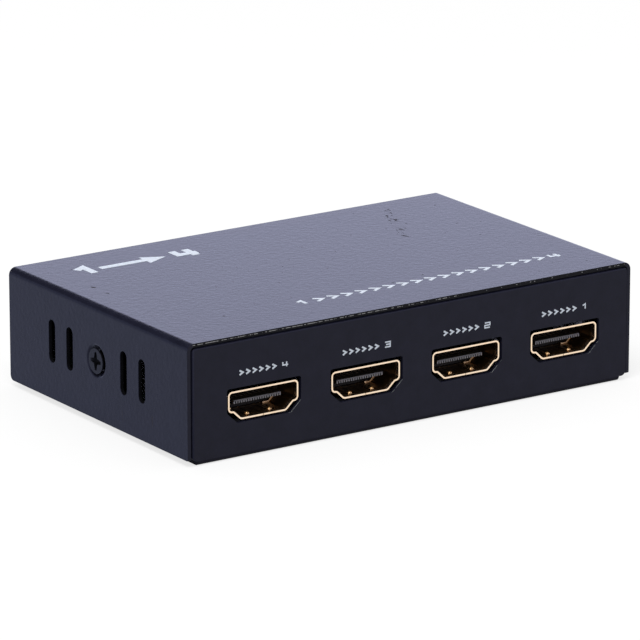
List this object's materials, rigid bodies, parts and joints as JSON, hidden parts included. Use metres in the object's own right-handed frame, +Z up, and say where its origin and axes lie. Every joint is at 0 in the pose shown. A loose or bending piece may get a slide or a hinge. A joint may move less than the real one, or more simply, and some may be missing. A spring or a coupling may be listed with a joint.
{
  "type": "hdmi splitter",
  "caption": "Flat black sheet-metal video splitter box: a row of gold-rimmed output sockets in front, input and power inlets behind, vent slots and a cover screw on each side.",
  "frame": {"origin": "middle of the underside, on the surface the box stands on", "axes": "+X to the right of the front panel, +Y to the rear, +Z up"},
  "size_m": [0.0952, 0.0594, 0.0222],
  "materials": {
    "cover_paint": "black powder coat with a fine orange peel, semi-gloss",
    "tray_paint": "black powder coat with a fine orange peel, semi-gloss",
    "black_screw": "black oxide, satin",
    "gold_plate": "gold-plated sheet, bright on the cut edge",
    "socket_plastic": "moulded black, satin",
    "contact_gold": "gold-plated, bright",
    "board_laminate": "black solder mask, satin",
    "plated_steel": "zinc-plated, satin",
    "tinned_metal": "tin-plated, satin",
    "jack_plastic": "moulded black, satin",
    "light_lens": "clear red, polished",
    "chip_epoxy": "moulded epoxy, matte",
    "ferrite": "sintered, matte",
    "can_aluminium": "drawn, satin",
    "ceramic": "fired, matte"
  },
  "bodies": {
    "case": {"top_cover": "cover_paint", "base_tray": "tray_paint", "circuit_board": "board_laminate", "board_standoffs": "plated_steel", "board_screws": "plated_steel", "power_jack_housing": "jack_plastic", "power_jack_pin": "tinned_metal", "power_jack_spring": "tinned_metal", "power_jack_switch": "tinned_metal", "power_light": "light_lens", "power_light_leads": "tinned_metal", "splitter_chip": "chip_epoxy", "control_chip": "chip_epoxy", "control_chip_pins": "tinned_metal", "crystal": "plated_steel", "voltage_regulator": "chip_epoxy", "regulator_leads": "tinned_metal", "power_inductor": "ferrite", "capacitor_cans": "can_aluminium", "capacitor_bases": "jack_plastic", "ceramic_capacitors": "ceramic", "surge_arrays": "chip_epoxy", "output_1_shell": "gold_plate", "output_1_insulator": "socket_plastic", "output_1_contacts": "contact_gold", "output_2_shell": "gold_plate", "output_2_insulator": "socket_plastic", "output_2_contacts": "contact_gold", "output_3_shell": "gold_plate", "output_3_insulator": "socket_plastic", "output_3_contacts": "contact_gold", "output_4_shell": "gold_plate", "output_4_insulator": "socket_plastic", "output_4_contacts": "contact_gold", "input_shell": "gold_plate", "input_insulator": "socket_plastic", "input_contacts": "contact_gold"},
    "left_screw": {"left_cover_screw": "black_screw"},
    "right_screw": {"right_cover_screw": "black_screw"}
  },
  "joints": [
    {"name": "left_screw_out", "type": "slide", "parent": "case", "child": "left_screw", "axis": [-1, 0, 0], "range_m": [0, 0.007]},
    {"name": "right_screw_out", "type": "slide", "parent": "case", "child": "right_screw", "axis": [1, 0, 0], "range_m": [0, 0.007]}
  ]
}
